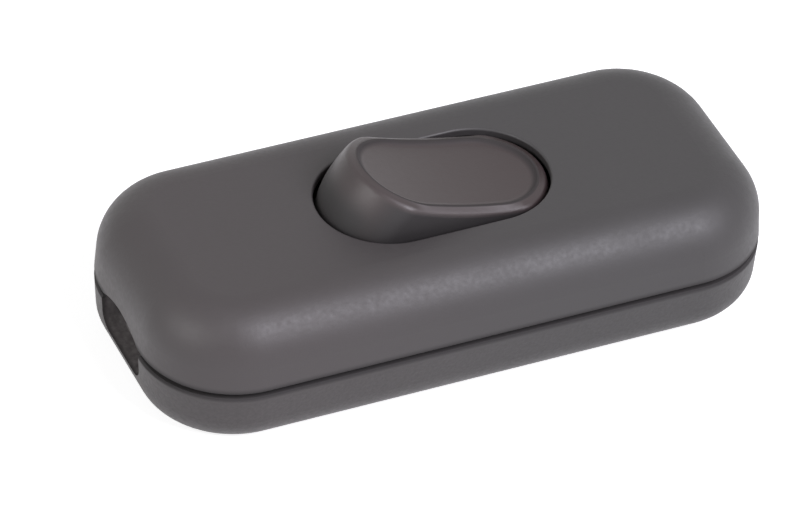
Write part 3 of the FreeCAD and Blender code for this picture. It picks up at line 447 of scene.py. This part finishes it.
def headRows(screw, cross, edge):
    # From the middle of the cross out over the dome and round to the underside. The dome is at
    # headHeight - dome * (radius / head)^2, and its side is a quarter of an ellipse
    head, top, drop = screw["head"], screw["headHeight"], screw["dome"]
    taper, onWall = cross["taper"], turning["onWall"]
    lipOutside, domeEdge = turning["lipOutside"], turning["domeEdge"]
    floor = top * (1.0 - cross["depth"])
    lip = top - drop * (edge / head) ** 2
    rows = [
        (0.0, floor),
        (turning["inFloor"] * taper * edge, floor),
        (taper * edge, floor),
        ((taper + onWall * (1.0 - taper)) * edge, floor + onWall * (lip - floor)),
        (turning["lipInside"] * edge, lip - turning["lipDrop"]),
        (lipOutside * edge, lip),
    ]
    for share in np.linspace(turning["domeStart"], 1.0, turning["domeRings"]):
        radius = lipOutside * edge + share * (domeEdge * head - lipOutside * edge)
        rows.append((radius, top - drop * (radius / head) ** 2))
    side = top - drop * domeEdge ** 2
    for bend in np.linspace(turning["sideStart"], 1.0, turning["sideRings"]) * math.pi / 2:
        radius = head * (domeEdge + (1.0 - domeEdge) * np.sin(bend))
        rows.append((radius, side - turning["sideDrop"] * (1.0 - np.cos(bend))))
    return rows + [(head, turning["bevelHeight"]), (turning["underside"] * head, 0.0)]


def shankRows(screw, length, angle):
    # Down the shank. The thread is a ridge where depth / pitch + angle / (2 * pi) is a half, and the
    # core narrows in the tip with a power of the length that is left
    core = screw["thread"] - screw["ridge"]
    depth = np.arange(0.0, length, screw["pitch"] / turning["ringsPerPitch"])
    turns = depth[:, None] / screw["pitch"]
    left = (length - depth)[:, None]
    phase = (turns + angle / (2.0 * math.pi)) % 1.0
    ridge = np.clip(turning["ridgeHeight"] - turning["ridgeSlope"] * np.abs(phase - 0.5), 0.0, 1.0)
    fade = np.clip(np.minimum(turns, left / screw["pitch"]), 0.0, 1.0)
    narrow = np.clip(left / screw["point"], 0.0, 1.0) ** turning["tipPower"]
    tip = turning["tip"]
    shank = (core + screw["ridge"] * ridge * fade) * (tip + (1.0 - tip) * narrow)
    rows = [(radius, -below) for radius, below in zip(shank, depth)]
    return rows + [(turning["tipEnd"] * core, -length), (0.0, -length)]


def turnScrew(node, screw, cross):
    # Rings about the screw's axis, each row a radius and a height above the head's seat
    low, high = (Vector(corner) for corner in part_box(node))
    hand = screw["up"]
    seat = (high.z - screw["headHeight"]) if hand > 0 else (low.z + screw["headHeight"])
    centre = (low + high) / 2
    angle = np.arange(turning["around"]) * 2.0 * math.pi / turning["around"]
    rows = headRows(screw, cross, crossOutline(angle, screw["head"], cross))
    rows += shankRows(screw, high.z - low.z - screw["headHeight"], angle)
    radius, along = (np.array([value + 0.0 * angle for value in column]) for column in zip(*rows))
    rings = np.stack([centre.x + radius * np.cos(angle), centre.y + hand * radius * np.sin(angle),
                      seat + hand * along], -1)
    piece = closedSkin(node + "_turned", rings)
    piece.data.shade_smooth()
    piece.data.materials.append(finishes["plated_steel"])
    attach(piece, "housing")
    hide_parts(node)


for screw in (fixingScrew, clampScrew):
    for node in screw["nodes"]:
        turnScrew(node, screw, driverCross)
print("screws turned")


coiled = {                          # in the key's tube, measured from the pivot along the leaning key
    "node": "plunger_spring",
    "low": -0.00049, "high": 0.00365,
    "radius": 0.00119,              # of the wire's centre line
    "wire": 0.00016,                # radius
    "turns": 6.0,
    "closedPitch": 0.00033,         # of the first and the last turn, which lie against their neighbours
    "travel": 0.00081,              # how far the plunger presses it together
    "ringsPerTurn": 40,
    "around": 12,
}


def windSpring(spring):
    # Wire circles along a helix whose first and last turn are closed. With outward = (cos t, sin t, 0)
    # the centre line is radius * outward + height(t), and the wire's circle spans outward and up
    first, last = spring["low"] + spring["wire"], spring["high"] - spring["wire"]
    turn = np.linspace(0.0, spring["turns"], int(spring["turns"] * spring["ringsPerTurn"]) + 1)
    height = np.interp(turn, (0.0, 1.0, spring["turns"] - 1.0, spring["turns"]),
                       (first, first + spring["closedPitch"], last - spring["closedPitch"], last))
    turn = np.concatenate([turn[:1], turn, turn[-1:]])
    height = np.concatenate([height[:1], height, height[-1:]])
    wire = np.full(len(turn), spring["wire"])
    wire[[0, -1]] = 0.0
    side = np.arange(spring["around"]) * 2.0 * math.pi / spring["around"]
    sweep = 2.0 * math.pi * turn[:, None]
    out = spring["radius"] + wire[:, None] * np.cos(side)
    rise = height[:, None] + wire[:, None] * np.sin(side)
    upright = np.stack([out * np.cos(sweep), out * np.sin(sweep), rise], -1)
    lean = Matrix.Rotation(math.radians(key["tilt"]), 3, "Y")
    pivot = Vector((0.0, 0.0, key["pivot"]))
    piece = closedSkin(spring["node"] + "_wound", upright @ np.array(lean).T + np.array(pivot))
    piece.data.shade_smooth()
    piece.data.materials.append(finishes["spring_steel"])
    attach(piece, "rocker")
    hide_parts(spring["node"])
    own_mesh(piece)


windSpring(coiled)
print("spring wound")


view = {
    "turn": -25.666,            # degrees round from the front, towards the end with the raised key
    "rise": 39.278,             # degrees above level
    "roll": 3.334,
    "distance": 0.6035,
    "height": 0.006,            # of the point that turn and rise are about
    "aim": (-0.002708, -0.000859),  # the middle of the picture from that point, right and up
    "lens": 285.7,              # millimetres, as is the sensor's width
    "sensor": 36.0,
    "near": 0.01,               # what lies nearer or farther isn't drawn
    "far": 20.0,
}


def standCamera():
    # Right and up are the level directions turned by the roll: right = side cos r + top sin r
    turn, rise, roll = (math.radians(view[name]) for name in ("turn", "rise", "roll"))
    back = Vector((math.sin(turn) * math.cos(rise), -math.cos(turn) * math.cos(rise), math.sin(rise)))
    side = Vector((math.cos(turn), math.sin(turn), 0.0))
    top = back.cross(side)
    right = side * math.cos(roll) + top * math.sin(roll)
    up = top * math.cos(roll) - side * math.sin(roll)
    centre = Vector((0.0, 0.0, view["height"]))
    eye = centre + back * view["distance"]
    aim = centre + right * view["aim"][0] + up * view["aim"][1]
    depth = (eye - aim).normalized()
    across = up.cross(depth).normalized()
    turned = Matrix((across, depth.cross(across), depth)).transposed().to_4x4()
    turned.translation = eye
    data = bpy.data.cameras.new("photoCamera")
    data.sensor_width = view["sensor"]
    data.lens = view["lens"]
    data.clip_start = view["near"]
    data.clip_end = view["far"]
    camera = bpy.data.objects.new("photoCamera", data)
    bpy.context.scene.collection.objects.link(camera)
    camera.matrix_world = turned
    bpy.context.scene.camera = camera


lamps = {
    "frontSoftbox": {"place": (0.30, -0.57, 0.63), "size": (0.34, 0.58), "power": 8.0,
                     "tint": (0.93, 0.91, 1.0)},
    "leftSoftbox": {"place": (-0.80, -0.15, 0.50), "size": (0.50, 0.50), "power": 3.2,
                    "tint": (1.0, 1.0, 1.0)},
}
lampAim = (0.0, 0.0, 0.007)         # the part's middle


def hangLamp(name, lamp):
    data = bpy.data.lights.new(name, "AREA")
    data.shape = "RECTANGLE"
    data.size, data.size_y = lamp["size"]
    data.energy = lamp["power"]
    data.color = lamp["tint"]
    hung = bpy.data.objects.new(name, data)
    bpy.context.scene.collection.objects.link(hung)
    place = Vector(lamp["place"])
    turn = (place - Vector(lampAim)).to_track_quat("Z", "Y")
    hung.matrix_world = Matrix.Translation(place) @ turn.to_matrix().to_4x4()


room = {
    "floorHalf": 6.0,
    "floorGap": 0.0001,                  # below the underside, which would flicker on the same level
    "floorColour": (0.80, 0.80, 0.80),
    "floorRough": 0.9,
    "floorGlow": (0.74, 0.74, 0.74),     # white behind the part, on top of the lit colour
    "worldLevel": 0.163,                 # light from all round
}


def seenDirectly(recipe):
    # 1 on a ray that ends in the picture, a reflection or a view through something clear, else 0
    seen = 0.0
    for ray in ("Is Camera Ray", "Is Glossy Ray", "Is Transmission Ray"):
        seen = recipe.node("ShaderNodeLightPath", {}, {}, ray) + seen
    return seen


def layFloor():
    # A large plain square under the part, bright to the camera and still shaded by the part
    half = room["floorHalf"]
    low = -room["floorGap"]
    corners = [(-half, -half, low), (half, -half, low), (half, half, low), (-half, half, low)]
    mesh = bpy.data.meshes.new("studioFloor")
    mesh.from_pydata(corners, [], [(0, 1, 2, 3)])
    floor = bpy.data.objects.new("studioFloor", mesh)
    bpy.context.scene.collection.objects.link(floor)
    recipe = Recipe("studioFloor")
    recipe.set(Base_Color=(*room["floorColour"], 1.0), Roughness=room["floorRough"],
               Specular_IOR_Level=0.0)
    glow = recipe.mix(seenDirectly(recipe), (0.0, 0.0, 0.0), room["floorGlow"])
    recipe.set(Emission_Color=glow, Emission_Strength=1.0)
    mesh.materials.append(recipe.material)


class Sky(Recipe):
    # The same node methods on the world's own tree
    def __init__(self, world):
        self.tree = world.node_tree
        self.shader = self.tree.nodes["Background"]


def lightWorld():
    # White to the camera and in reflections, and a softer grey as light
    world = bpy.data.worlds.new("studio")
    world.use_nodes = True
    bpy.context.scene.world = world
    sky = Sky(world)
    grey = (room["worldLevel"],) * 3
    sky.set(Color=sky.mix(seenDirectly(sky), grey, (1.0, 1.0, 1.0)), Strength=1.0)


standCamera()
for name, lamp in lamps.items():
    hangLamp(name, lamp)
layFloor()
lightWorld()
bpy.context.scene.view_settings.view_transform = "Standard"
print("camera, lamps and floor stand")
